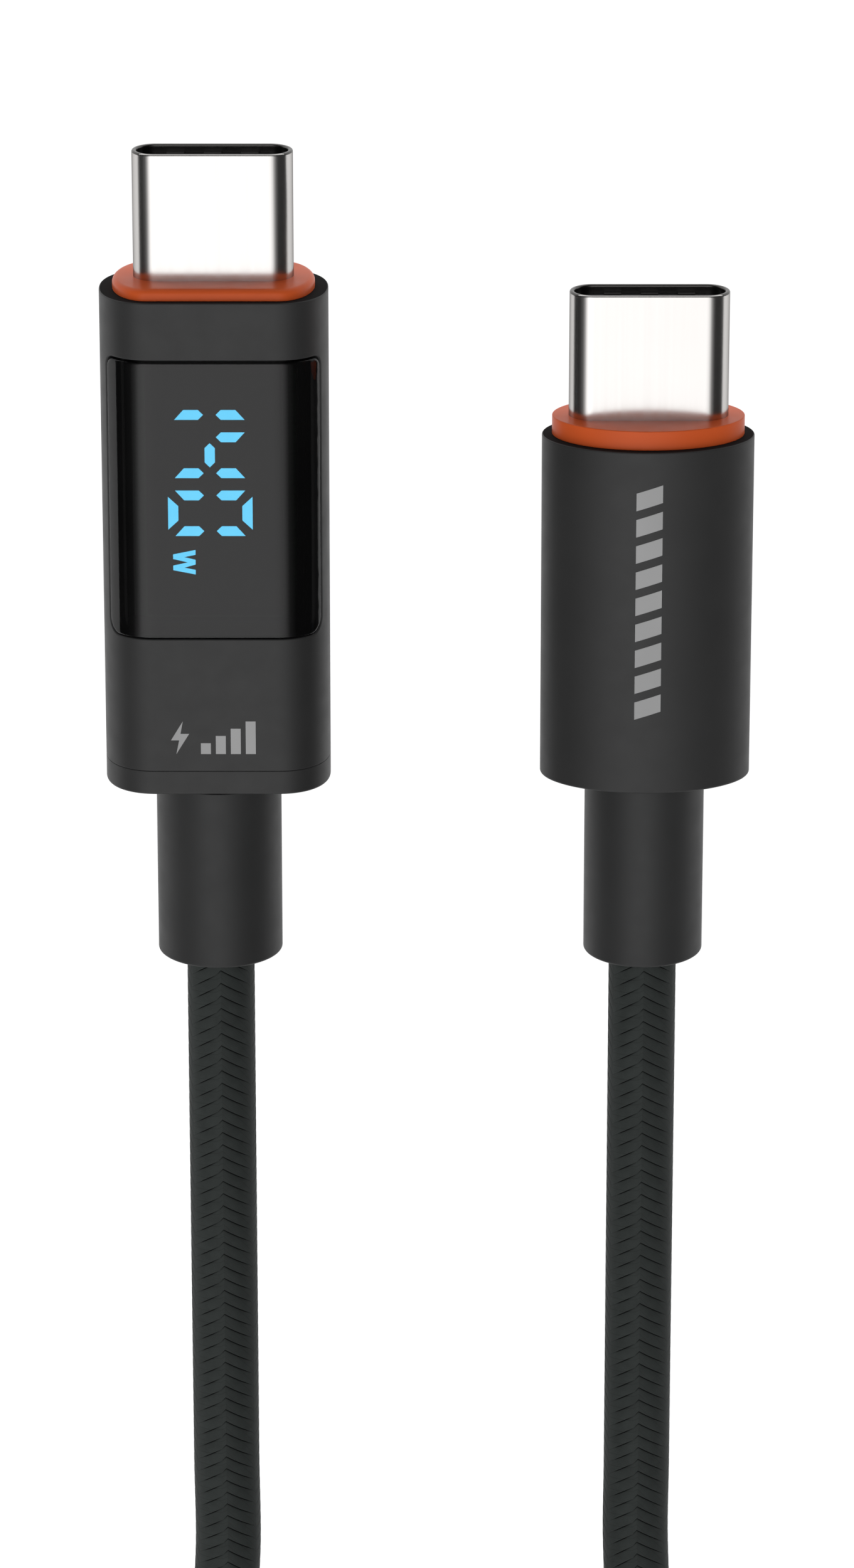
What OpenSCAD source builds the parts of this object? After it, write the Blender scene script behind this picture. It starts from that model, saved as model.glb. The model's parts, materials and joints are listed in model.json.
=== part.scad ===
// USB-C charging cable with a power meter built into one plug.
// It lies flat with the display up: +Z up, +Y towards the plug tips, +X to the right.
// The origin is under the middle of the meter plug, on the surface that it lies on.

/* [Plug shells] */
// Width of the metal shell
shell_w = 8.25; // [8.19:0.01:8.31]
// Thickness of the metal shell across its flats
shell_t = 2.40; // [2.34:0.01:2.46]
// Length of shell that stands out of the collar
shell_out = 6.65; // [6.5:0.05:6.8]
// Wall of the shell
shell_wall = 0.25; // [0.2:0.01:0.28]
// How far the shell runs back behind the collar's front face
shell_tail = 2.4; // [2.3:0.05:2.6]

/* [Meter plug] */
// Width of the meter housing
meter_w = 11.79; // [11.7:0.01:12.4]
// Thickness of the meter housing
meter_t = 6.58; // [6.5:0.01:7]
// Half width of the housing's flat middle
meter_flat = 3.7; // [3.5:0.05:3.8]
// Length of the housing with its end cap
meter_len = 26.62; // [26.5:0.02:28]
// Wall of the housing
meter_wall = 1.1; // [1.05:0.05:1.15]
// Length of the end cap that shows
cap_len = 1.3; // [1.2:0.05:1.4]
// Width of the meter's soft collar
meter_collar_w = 10.42; // [10.2:0.02:10.8]
// Thickness of the meter's soft collar
meter_collar_t = 5.8; // [5.6:0.05:6]
// Half width of the meter collar's flat middle
meter_collar_flat = 3.4; // [3.2:0.05:3.6]
// Height of the meter's soft collar
meter_collar_h = 0.60; // [0.55:0.01:0.7]
// Diameter of the meter's strain relief sleeve
meter_sleeve_d = 6.58; // [6.3:0.02:6.58]
// Length of the meter's strain relief sleeve that shows
meter_sleeve_len = 9.77; // [9:0.01:11]

/* [Display] */
// Y of the window's end nearest the plug tip
window_front_y = 11.53; // [11.4:0.01:11.8]
// Length of the window
window_len = 15.02; // [14.8:0.02:15.2]
// Height above the housing's axis where the window's wrapped edges end
window_edge_z = 1.89; // [1.8:0.01:2]
// Thickness of the window
window_t = 0.6; // [0.55:0.01:0.65]
// Gap round the window and the light guides
seam = 0.03; // [0.02:0.01:0.04]
// X of the middle of the digits
digit_x = -0.21; // [-0.3:0.01:0]
// Y of the first digit's right-hand column
digit_y = 8.47; // [8.3:0.01:8.7]
// Distance from digit to digit
digit_pitch = 3.13; // [3.1:0.01:3.2]
// Height of a digit
digit_h = 4.36; // [4.3:0.02:4.4]
// Distance between a digit's two columns of segments
digit_columns = 1.93; // [1.9:0.01:2]
// Thickness of a segment
segment_t = 0.53; // [0.5:0.01:0.6]
// Width of the watt sign
watt_w = 1.335; // [1.3:0.005:1.36]
// Height of the watt sign
watt_h = 1.16; // [1.1:0.01:1.24]
// X of the middle of the watt sign
watt_x = -1.58; // [-1.65:0.01:-1.4]
// Y of the middle of the watt sign
watt_y = 0.52; // [0.4:0.01:0.7]

/* [Plain plug] */
// X of the plain plug's axis
far_x = 22.4; // [20:0.2:26]
// Y of the plain plug's tip
far_tip_y = 14.45; // [14:0.05:15]
// Width of the plain housing
far_w = 11.0; // [10.8:0.05:11.4]
// Thickness of the plain housing
far_t = 7.16; // [7.1:0.02:7.4]
// Length of the plain housing
far_len = 18.58; // [18.5:0.02:20]
// Wall of the plain housing
far_wall = 1.2; // [1.1:0.05:1.25]
// Width of the plain plug's soft collar
far_collar_w = 9.96; // [9.8:0.02:10.2]
// Thickness of the plain plug's soft collar
far_collar_t = 6.3; // [6.1:0.05:6.5]
// Height of the plain plug's soft collar
far_collar_h = 1.02; // [1:0.01:1.1]
// Diameter of the plain plug's strain relief sleeve
far_sleeve_d = 6.28; // [6.2:0.02:6.5]
// Length of the plain plug's strain relief sleeve that shows
far_sleeve_len = 9.94; // [9:0.02:11]

/* [Cable] */
// Diameter of the braided cable
cable_d = 3.6; // [3.5:0.02:3.6]
// Radius of the hank's inner turn, to the cable's middle
hank_inner_r = 10.95; // [10.8:0.05:11.2]
// Distance between turns that lie side by side
hank_pitch = 3.65; // [3.6:0.01:3.7]
// Length of the hank's straight runs
hank_run = 38; // [36:0.5:44]
// Y where the hank's straight runs begin
hank_top_y = -82; // [-84:0.5:-81]
// Thickness of the hook-and-loop tie
tie_t = 0.6; // [0.5:0.05:0.7]
// Width of the hook-and-loop tie
tie_w = 12; // [8:1:16]

/* [Hidden] */

round_fn = 64;          // round edges
arc_steps = 24;         // points on each quarter of an outline's round ends
gap = 0.01;             // clearance between nested rigid pieces

// Meter plug: places along Y, worked back from the tip
meter_total = shell_out + meter_collar_h + meter_len + meter_sleeve_len;
meter_tip_y = meter_total / 2;
meter_face_y = meter_tip_y - shell_out;
meter_front_y = meter_face_y - meter_collar_h;
meter_back_y = meter_front_y - meter_len;
meter_cap_y = meter_back_y + cap_len;
meter_sleeve_y = meter_back_y - meter_sleeve_len;
meter_z = meter_t / 2;
meter_front_wall = 1.2;

// Plain plug: places along Y, worked back from the tip
far_face_y = far_tip_y - shell_out;
far_front_y = far_face_y - far_collar_h;
far_back_y = far_front_y - far_len;
far_sleeve_y = far_back_y - far_sleeve_len;
far_z = far_t / 2;
far_back_wall = 1.2;
far_room_w = far_w - 2 * far_wall;
far_room_t = far_t - 2 * far_wall;
far_board_back_y = -2.6;

// Inside both plugs
contact_count = 12;
contact_pitch = 0.5;
contact_w = 0.25;
contact_t = 0.12;
insulator_front = 6.2;
insulator_back = -1.9;
cavity_half_w = 3.42;
cavity_half_t = 0.38;
board_half_t = 0.35;
board_nose_y = -2.0;
board_nose_half_w = 3.4;
board_nose_len = 1.8;
neck_d = 5.2;           // sleeve's neck through the housing's end
flange_d = 6.4;         // sleeve's flange behind it
flange_len = 0.8;
ferrule_d = 4.2;
ferrule_len = 2.1;
meter_ferrule_y = meter_cap_y + flange_len;
far_ferrule_y = far_back_y + far_back_wall + flange_len;
wire_d = 0.7;
wire_x = 1.1;           // spacing of the wires across the board

// Display stack, heights above the housing's axis
mask_top_z = meter_t / 2 - window_t - seam;
mask_base_z = 1.45;
guide_base_z = 1.75;
display_board_z = 0.85;
display_board_t = 0.4;
opening_half_w = 3.55;
opening_ends = [-2.4, 11];
mask_half_w = 3.5;
mask_ends = [-2.35, 10.95];
led_size = [0.6, 0.35, 0.2];

// The seven segments, each as outer points in a digit's own right and up directions
seg_tip = segment_t / 2;
col = digit_columns / 2;
col_in = col - seg_tip;
col_out = col + seg_tip;
bar_tip = 0.32;         // from the digit's middle to an upright's point
bar_out = 1.81;         // to an upright's far corner
bar_in = 1.34;          // to its near corner
end_half_out = 0.89;    // half length of a top or bottom segment, outer edge
end_half_in = 0.39;     // and inner edge
mid_half = 0.65;        // half length of the middle segment

SEG_B = [
    [col, bar_tip], [col_in, bar_tip + seg_tip], [col_in, bar_in],
    [col_out, bar_out], [col_out, bar_tip + seg_tip],
];
SEG_A = [
    [-end_half_out, digit_h / 2], [end_half_out, digit_h / 2],
    [end_half_in, digit_h / 2 - segment_t], [-end_half_in, digit_h / 2 - segment_t],
];
SEG_G = [
    [-mid_half, 0], [seg_tip - mid_half, seg_tip], [mid_half - seg_tip, seg_tip],
    [mid_half, 0], [mid_half - seg_tip, -seg_tip], [seg_tip - mid_half, -seg_tip],
];
function flip(points, sx, sy) = [for (p = points) [sx * p[0], sy * p[1]]];
SEGMENTS = [
    SEG_A, SEG_B, flip(SEG_B, 1, -1), flip(SEG_A, 1, -1),
    flip(SEG_B, -1, -1), flip(SEG_B, -1, 1), SEG_G,
];
// Which segments of each digit are lit, in the order A to G
LIT = [[0, 1, 1, 0, 0, 0, 0], [0, 1, 1, 0, 0, 1, 1], [1, 1, 1, 1, 1, 1, 0]];
// The watt sign's outline, as shares of its width and height
WATT = [
    [0, 1], [0.18, 0], [0.37, 0], [0.505, 0.65], [0.635, 0], [0.825, 0], [1, 1],
    [0.81, 1], [0.72, 0.5], [0.595, 1], [0.4, 1], [0.29, 0.5], [0.2, 1],
];

// Hank
hank_middle_x = far_x / 2;
hank_outer_r = hank_inner_r + 2 * hank_pitch;
hank_edge_r = hank_outer_r + cable_d / 2;
hank_height = 2 * cable_d;
tie_hole_x = [hank_middle_x - hank_edge_r, hank_middle_x - hank_inner_r + cable_d / 2];

// Routes of the two free stretches, as points of the cable's middle
cable_r = cable_d / 2;
METER_ROUTE = [
    [0, meter_sleeve_y, meter_z], [0, meter_sleeve_y - 0.6, meter_z],
    [0, -28, 3.27], [0, -34, 3.2], [0, -40, 3.1], [0, -46, 2.98], [0, -52, 2.85],
    [0, -58, 2.7], [-0.4, -62, 2.6], [-1.75, -66, 2.48], [-3.7, -70, 2.4],
    [-5.55, -74, 2.37], [-6.8, -78, 2.38], [-7.05, -82, 2.4], [-7.05, -84, 2.4],
];
FAR_ROUTE = [
    [far_x, far_sleeve_y, far_z], [far_x, far_sleeve_y - 0.6, far_z],
    [far_x, -28, 3.56], [far_x, -34, 3.5], [far_x, -40, 3.45], [far_x, -46, 3.45],
    [far_x, -52, 3.5], [far_x, -57, 3.75], [far_x + 0.4, -62, 4.45],
    [far_x + 1.75, -66, 5.3], [far_x + 3.7, -70, 5.85], [far_x + 5.55, -74, 6],
    [far_x + 6.8, -78, 6], [far_x + 7.05, -82, 6], [far_x + 7.05, -84, 6],
];
tube_sides = 8;

// ---- shared shapes ----

// Outline with a flat middle and elliptical ends; a flat of 0 is an ellipse
function oval_points(w, t, flat) = [
    for (side = [1, -1], i = [0 : 2 * arc_steps])
        let (a = -90 + 90 * i / arc_steps)
            [side * (flat + (w / 2 - flat) * cos(a)), side * t / 2 * sin(a)]
];

module along_y(y0, y1) {
    translate([0, y1, 0])
        rotate([90, 0, 0])
            linear_extrude(y1 - y0)
                children();
}

module oval(w, t, flat, y0, y1) {
    along_y(y0, y1)
        polygon(oval_points(w, t, flat));
}

// Straight-sided slot shape with half-round ends
module slot_shape(w, t) {
    square([w - t, t], center = true);
    for (side = [-1, 1])
        translate([side * (w - t) / 2, 0])
            circle(d = t, $fn = round_fn);
}

module rod_y(d, y0, y1) {
    translate([0, y1, 0])
        rotate([90, 0, 0])
            cylinder(d = d, h = y1 - y0, $fn = round_fn);
}

// Box from its two far corners
module box(low, high) {
    translate(low)
        cube(high - low);
}

module at_meter_axis() {
    translate([0, 0, meter_z])
        children();
}

module at_meter() {
    translate([0, meter_face_y, meter_z])
        children();
}

module at_far() {
    translate([far_x, far_face_y, far_z])
        children();
}

module at_far_axis() {
    translate([far_x, 0, far_z])
        children();
}

module mirror_if(flipped) {
    mirror([0, 0, flipped ? 1 : 0])
        children();
}

// ---- pieces that both plugs share; y = 0 at the collar's front face ----

module plug_shell() {
    along_y(-shell_tail, shell_out)
        difference() {
            slot_shape(shell_w, shell_t);
            slot_shape(shell_w - 2 * shell_wall, shell_t - 2 * shell_wall);
        }
    for (side = [-1, 1])
        box(
            [side > 0 ? shell_w / 2 - shell_wall : -shell_w / 2, -shell_tail - 1.2, -0.5],
            [side > 0 ? shell_w / 2 : shell_wall - shell_w / 2, -shell_tail + 0.1, 0.5]
        );
}

// One row's contact: side view as y and z points, 0.25 wide
CONTACT = [
    [-3.2, 0.41], [-2.3, 0.41], [-1.8, 0.6], [0.4, 0.6], [4.3, 0.35], [4.7, 0.35],
    [5.1, 0.46],
];
CONTACT_SIDE = concat(
    [for (p = CONTACT) [p[0], p[1] + contact_t / 2]],
    [for (i = [len(CONTACT) - 1 : -1 : 0]) [CONTACT[i][0], CONTACT[i][1] - contact_t / 2]]
);
CONTACT_GROOVE = [
    [-2.1, 0.5], [0.3, 0.5], [0.3, 0.2], [5.4, 0.2], [5.4, 0.76], [-2.1, 0.76],
];

// Extrudes a shape drawn in y and z along x
module side_view(points, width) {
    translate([-width / 2, 0, 0])
        rotate([90, 0, 90])
            linear_extrude(width)
                polygon(points);
}

module contact_row(points, width) {
    for (i = [0 : contact_count - 1])
        translate([(i - (contact_count - 1) / 2) * contact_pitch, 0, 0])
            side_view(points, width);
}

module plug_insulator() {
    difference() {
        along_y(insulator_back, insulator_front)
            slot_shape(
                shell_w - 2 * shell_wall - 2 * gap, shell_t - 2 * shell_wall - 2 * gap
            );
        box(
            [-cavity_half_w, 0.3, -cavity_half_t],
            [cavity_half_w, insulator_front + 1, cavity_half_t]
        );
        for (below = [false, true])
            mirror_if(below) {
                contact_row(CONTACT_GROOVE, contact_w + 0.06);
                box([-2.9, 4.6, 0.84], [2.9, insulator_front + 1, 1]);
            }
        for (side = [-1, 1])
            scale([side, 1, 1])
                box([3.24, -0.7, -0.31], [4, 5.4, 0.31]);
        box([-3.24, insulator_back - 1, -0.1], [3.24, -0.55, 0.1]);
    }
}

module plug_contacts(below) {
    mirror_if(below)
        contact_row(CONTACT_SIDE, contact_w);
}

// Right-hand latch arm, seen from above; its hook clicks into the socket's tongue
LATCH = [
    [3.3, -0.6], [3.7, -0.6], [3.7, 0.2], [3.54, 0.4], [3.54, 4.95], [3.36, 4.95],
    [3.05, 4.6], [3.05, 4.4], [3.36, 3.9], [3.36, 0.4], [3.3, 0.2],
];

module plug_latch(side) {
    translate([0, 0, -0.25])
        linear_extrude(0.5)
            polygon(flip(LATCH, side, 1));
}

module plug_mid_plate() {
    box([-3.2, -1.85, -0.075], [3.2, -0.6, 0.075]);
}

module plug_emi_springs() {
    for (below = [false, true])
        mirror_if(below) {
            box([-2.85, 4.65, 0.845], [2.85, insulator_front, 0.935]);
            for (x = [-1.9, 0, 1.9])
                box(
                    [x - 0.45, insulator_front, 0.42],
                    [x + 0.45, insulator_front + 0.1, 0.935]
                );
        }
}

module collar_hole(y0) {
    along_y(y0 - 1, 1)
        slot_shape(shell_w + 2 * gap, shell_t + 2 * gap);
}

// Printed board with a nose that goes into the back of the shell
module plug_board(half_w, back_y) {
    shoulder_y = board_nose_y - board_nose_len;
    box(
        [-board_nose_half_w, shoulder_y - 0.1, -board_half_t],
        [board_nose_half_w, board_nose_y, board_half_t]
    );
    box([-half_w, back_y, -board_half_t], [half_w, shoulder_y, board_half_t]);
}

// A row of small soldered parts along x, on the board's top or its underside
module chip_row(xs, y, below, size = [1, 0.5, 0.35]) {
    mirror_if(below)
        for (x = xs)
            box(
                [x - size[0] / 2, y - size[1] / 2, board_half_t],
                [x + size[0] / 2, y + size[1] / 2, board_half_t + size[2]]
            );
}

// Sleeve outside the housing, neck through its end, and a flange inside, which the
// children, the outline of the housing's room, cut to fit
module strain_sleeve(d, out_y, wall_y, wall) {
    neck_y = wall_y + wall;
    difference() {
        union() {
            rod_y(d, out_y, wall_y);
            rod_y(neck_d, wall_y - 0.1, neck_y);
            intersection() {
                union() {
                    rod_y(neck_d, neck_y - 0.1, neck_y + 0.1);
                    rod_y(flange_d, neck_y, neck_y + flange_len);
                }
                children();
            }
        }
        rod_y(cable_d, out_y - 1, neck_y + flange_len + 1);
    }
}

module crimp_ferrule(y) {
    difference() {
        rod_y(ferrule_d, y, y + ferrule_len);
        rod_y(cable_d, y - 1, y + ferrule_len + 1);
    }
}

module cable_end(y0, y1) {
    rod_y(cable_d - 2 * gap, y0, y1);
}

module wires(y0, y1, d = wire_d) {
    for (x = [-wire_x, 0, wire_x], side = [-1, 1])
        translate([x, 0, side * (board_half_t + wire_d / 2)])
            rod_y(d, y0, y1);
}

// ---- meter plug ----

module meter_shell() {
    color("gainsboro")
        at_meter() plug_shell();
}

module meter_insulator() {
    color([0.09, 0.09, 0.1])
        at_meter() plug_insulator();
}

module meter_contacts_upper() {
    color("goldenrod")
        at_meter() plug_contacts(false);
}

module meter_contacts_lower() {
    color("goldenrod")
        at_meter() plug_contacts(true);
}

module meter_latch_left() {
    color("lightsteelblue")
        at_meter() plug_latch(-1);
}

module meter_latch_right() {
    color("lightsteelblue")
        at_meter() plug_latch(1);
}

module meter_mid_plate() {
    color("lightsteelblue")
        at_meter() plug_mid_plate();
}

module meter_emi_springs() {
    color("silver")
        at_meter() plug_emi_springs();
}

module meter_collar() {
    skirt_y = -meter_collar_h - meter_front_wall;
    color([0.77, 0.34, 0.18])
        at_meter()
            difference() {
                union() {
                    oval(
                        meter_collar_w, meter_collar_t, meter_collar_flat,
                        -meter_collar_h, 0
                    );
                    along_y(skirt_y, -meter_collar_h + 0.1)
                        slot_shape(shell_w + 0.38, shell_t + 0.38);
                }
                collar_hole(skirt_y);
            }
}

module meter_room(y0, y1) {
    oval(meter_w - 2 * meter_wall, meter_t - 2 * meter_wall, meter_flat, y0, y1);
}

// The band of the housing's skin that the window takes up
module window_band(margin) {
    intersection() {
        difference() {
            oval(
                meter_w, meter_t, meter_flat,
                window_front_y - window_len + margin, window_front_y - margin
            );
            oval(
                meter_w - 2 * window_t, meter_t - 2 * window_t, meter_flat,
                -meter_total, meter_total
            );
        }
        box(
            [-meter_w, -meter_total, window_edge_z + margin],
            [meter_w, meter_total, meter_t]
        );
    }
}

module meter_housing() {
    color([0.2, 0.2, 0.21])
        at_meter_axis()
            difference() {
                oval(meter_w, meter_t, meter_flat, meter_cap_y, meter_front_y);
                meter_room(meter_cap_y - 1, meter_front_y - meter_front_wall);
                along_y(meter_front_y - 2, meter_front_y + 1)
                    slot_shape(shell_w + 0.4, shell_t + 0.4);
                window_band(0);
                box(
                    [-opening_half_w, opening_ends[0], mask_base_z],
                    [opening_half_w, opening_ends[1], meter_t]
                );
            }
}

module display_window() {
    color([0.12, 0.12, 0.13])
        at_meter_axis() window_band(seam);
}

// Draws a digit or sign upright in its own directions, turned to read from the right
module on_display(x, y) {
    translate([x, y])
        rotate(-90)
            children();
}

module segments(lit, grow = 0) {
    for (digit = [0 : 2], s = [0 : 6])
        if (LIT[digit][s] == lit)
            on_display(digit_x, digit_y + col - digit * digit_pitch)
                polygon(SEGMENTS[s]);
}

module watt_sign() {
    on_display(watt_x, watt_y)
        polygon([for (p = WATT) [(p[0] - 0.5) * watt_w, (p[1] - 0.5) * watt_h]]);
}

module light_mask() {
    color([0.05, 0.05, 0.05])
        at_meter_axis()
            difference() {
                box(
                    [-mask_half_w, mask_ends[0], mask_base_z],
                    [mask_half_w, mask_ends[1], mask_top_z]
                );
                translate([0, 0, mask_base_z - 1])
                    linear_extrude(meter_t) {
                        segments(0);
                        segments(1);
                        watt_sign();
                    }
            }
}

module lit_segments() {
    color([0.4, 0.84, 1])
        at_meter_axis()
            translate([0, 0, guide_base_z])
                linear_extrude(mask_top_z - guide_base_z) {
                    segments(1);
                    watt_sign();
                }
}

module unlit_segments() {
    color([0.22, 0.23, 0.24])
        at_meter_axis()
            translate([0, 0, guide_base_z])
                linear_extrude(mask_top_z - guide_base_z)
                    segments(0);
}

module led_under(x, y) {
    translate([x, y, display_board_z + display_board_t + led_size[2] / 2])
        cube(led_size, center = true);
}

// The middle of each segment, in the order A to G
SEGMENT_MIDDLES = [
    [0, digit_h / 2 - seg_tip], [col, 1.05], [col, -1.05], [0, seg_tip - digit_h / 2],
    [-col, -1.05], [-col, 1.05], [0, 0],
];

module display_leds() {
    color("lightyellow")
        at_meter_axis() {
            for (digit = [0 : 2], m = SEGMENT_MIDDLES)
                led_under(digit_x + m[1], digit_y + col - digit * digit_pitch - m[0]);
            led_under(watt_x, watt_y);
        }
}

module display_board() {
    color("darkgreen")
        at_meter_axis()
            box(
                [-4.2, -3, display_board_z],
                [4.2, 11, display_board_z + display_board_t]
            );
}

module board_header() {
    color([0.12, 0.12, 0.12])
        at_meter_axis()
            box([-2.5, 9.8, board_half_t], [2.5, 10.6, display_board_z]);
}

module meter_board() {
    color("darkgreen")
        at_meter() plug_board(4.1, -21.6);
}

module meter_mcu() {
    color([0.1, 0.1, 0.1])
        at_meter_axis()
            box([-2, -0.5, -board_half_t - 0.75], [2, 3.5, -board_half_t]);
}

module shunt_resistor() {
    color([0.25, 0.22, 0.2])
        at_meter_axis()
            box([-1.6, 5.5, -board_half_t - 0.6], [1.6, 7.1, -board_half_t]);
}

module meter_passives() {
    color("tan")
        at_meter_axis() {
            chip_row([-3, -1.5, 0, 1.5, 3], 8.4, true);
            chip_row([-3.2, 3.2], 6.3, true);
            chip_row([-3.2, 3.2], 1.5, true);
            chip_row([-3, -1.5, 0, 1.5, 3], -1.6, true);
            chip_row([-3, 3], -4.2, false);
            chip_row([-3, -1.5, 0, 1.5, 3], 4, false);
        }
}

module meter_emarker() {
    color([0.1, 0.1, 0.1])
        at_meter_axis()
            chip_row([0], -3.9, false, [2, 1.2, 0.45]);
}

// Plastic frame that holds both boards in the housing
module inner_carrier() {
    color([0.85, 0.84, 0.8])
        at_meter_axis() {
            for (side = [-1, 1])
                scale([side, 1, 1])
                    box([4.15, -6.4, -1.3], [4.5, 11.2, display_board_z]);
            for (y = [-6.4, 4.2])
                box([-4.2, y, -1.9], [4.2, y + 0.7, -1.15]);
        }
}

module meter_end_cap() {
    color([0.18, 0.18, 0.19])
        at_meter_axis()
            difference() {
                union() {
                    oval(meter_w, meter_t, meter_flat, meter_back_y, meter_cap_y);
                    intersection() {
                        oval(
                            meter_w - 2 * meter_wall - 4 * gap,
                            meter_t - 2 * meter_wall - 4 * gap,
                            meter_flat, meter_cap_y - 0.1, meter_cap_y + 1
                        );
                        union()
                            for (side = [-1, 1])
                                scale([side, 1, 1])
                                    box([3.3, meter_cap_y - 0.2, -5], [9, meter_cap_y + 2, 5]);
                    }
                }
                rod_y(neck_d + 2 * gap, meter_back_y - 1, meter_cap_y + 3);
            }
}

module meter_sleeve() {
    color([0.2, 0.2, 0.21])
        at_meter_axis()
            strain_sleeve(meter_sleeve_d, meter_sleeve_y, meter_back_y, cap_len)
                oval(
                    meter_w - 2 * meter_wall - 8 * gap,
                    meter_t - 2 * meter_wall - 8 * gap,
                    meter_flat, meter_cap_y - 1, meter_cap_y + 5
                );
}

module meter_ferrule() {
    color("silver")
        at_meter_axis() crimp_ferrule(meter_ferrule_y);
}

module meter_cable_end() {
    color([0.2, 0.22, 0.21])
        at_meter_axis() cable_end(meter_sleeve_y, meter_ferrule_y + ferrule_len);
}

module meter_wires() {
    color("firebrick")
        at_meter_axis() wires(meter_ferrule_y + ferrule_len, -4.9);
}

// ---- plain plug ----

module far_shell() {
    color("gainsboro")
        at_far() plug_shell();
}

module far_insulator() {
    color([0.09, 0.09, 0.1])
        at_far() plug_insulator();
}

module far_contacts_upper() {
    color("goldenrod")
        at_far() plug_contacts(false);
}

module far_contacts_lower() {
    color("goldenrod")
        at_far() plug_contacts(true);
}

module far_latch_left() {
    color("lightsteelblue")
        at_far() plug_latch(-1);
}

module far_latch_right() {
    color("lightsteelblue")
        at_far() plug_latch(1);
}

module far_mid_plate() {
    color("lightsteelblue")
        at_far() plug_mid_plate();
}

module far_emi_springs() {
    color("silver")
        at_far() plug_emi_springs();
}

module far_collar() {
    spigot_y = -far_collar_h - 1.2;
    color([0.77, 0.34, 0.18])
        at_far()
            difference() {
                union() {
                    oval(far_collar_w, far_collar_t, 0, -far_collar_h, 0);
                    oval(
                        far_room_w - 4 * gap, far_room_t - 4 * gap, 0,
                        spigot_y, -far_collar_h + 0.1
                    );
                }
                collar_hole(spigot_y);
            }
}

module far_housing() {
    color([0.2, 0.2, 0.21])
        at_far_axis()
            difference() {
                oval(far_w, far_t, 0, far_back_y, far_front_y);
                oval(far_room_w, far_room_t, 0, far_back_y + far_back_wall, far_front_y + 1);
                rod_y(neck_d + 2 * gap, far_back_y - 1, far_back_y + 3);
            }
}

module far_board() {
    color("darkgreen")
        at_far() plug_board(3.9, far_board_back_y - far_face_y);
}

module far_emarker() {
    color([0.1, 0.1, 0.1])
        at_far_axis()
            chip_row([0], 1.4, false, [3, 3, 0.6]);
}

module far_passives() {
    color("tan")
        at_far_axis() {
            chip_row([-2.8, 2.8], 1.4, false);
            chip_row([-2.4, -0.8, 0.8, 2.4], 1.6, true);
        }
}

// Soft inner mould over the soldered wires
module far_inner_mould() {
    color([0.8, 0.8, 0.78])
        at_far_axis()
            difference() {
                oval(
                    far_room_w - 0.2, far_room_t - 0.2, 0,
                    far_ferrule_y + ferrule_len + 0.1, far_board_back_y - 0.1
                );
                wires(far_ferrule_y, far_board_back_y + 1, wire_d + 2 * gap);
            }
}

module far_sleeve() {
    color([0.2, 0.2, 0.21])
        at_far_axis()
            strain_sleeve(far_sleeve_d, far_sleeve_y, far_back_y, far_back_wall)
                oval(
                    far_room_w - 8 * gap, far_room_t - 8 * gap, 0,
                    far_back_y, far_back_y + 5
                );
}

module far_ferrule() {
    color("silver")
        at_far_axis() crimp_ferrule(far_ferrule_y);
}

module far_cable_end() {
    color([0.2, 0.22, 0.21])
        at_far_axis() cable_end(far_sleeve_y, far_ferrule_y + ferrule_len);
}

module far_wires() {
    color("firebrick")
        at_far_axis() wires(far_ferrule_y + ferrule_len, -1.1);
}

// ---- cable ----

function unit(v) = v / norm(v);

// Points of the ring round a route's point i, square to the route there
function ring(route, i) =
    let (
        ahead = unit(route[min(i + 1, len(route) - 1)] - route[max(i - 1, 0)]),
        across = unit(cross(ahead, [0, 0, 1])),
        over = cross(across, ahead)
    )
    [
        for (k = [0 : tube_sides - 1])
            let (a = 360 * k / tube_sides)
                route[i] + cable_r * (cos(a) * across + sin(a) * over)
    ];

module tube(route) {
    n = tube_sides;
    last = len(route) - 1;
    polyhedron(
        points = [for (i = [0 : last]) each ring(route, i)],
        faces = concat(
            [[for (k = [0 : n - 1]) k]],
            [
                for (i = [0 : last - 1], k = [0 : n - 1])
                    [i * n + k, (i + 1) * n + k, (i + 1) * n + (k + 1) % n, i * n + (k + 1) % n]
            ],
            [[for (k = [n - 1 : -1 : 0]) last * n + k]]
        )
    );
}

module meter_lead() {
    color([0.2, 0.22, 0.21])
        tube(METER_ROUTE);
}

module far_lead() {
    color([0.2, 0.22, 0.21])
        tube(FAR_ROUTE);
}

module cable_hank() {
    color([0.2, 0.22, 0.21])
        translate([hank_middle_x, hank_top_y - hank_run / 2, tie_t])
            linear_extrude(hank_height) {
                square([2 * hank_edge_r, hank_run], center = true);
                for (side = [-1, 1])
                    translate([0, side * hank_run / 2])
                        circle(r = hank_edge_r, $fn = round_fn);
            }
}

module cable_tie() {
    middle_y = hank_top_y - hank_run / 2;
    color([0.08, 0.08, 0.08])
        along_y(middle_y - tie_w / 2, middle_y + tie_w / 2)
            difference() {
                translate([tie_hole_x[0] - tie_t, 0])
                    square([
                        tie_hole_x[1] - tie_hole_x[0] + 2 * tie_t,
                        hank_height + 2 * tie_t,
                    ]);
                translate([tie_hole_x[0], tie_t])
                    square([tie_hole_x[1] - tie_hole_x[0], hank_height]);
            }
}

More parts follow.
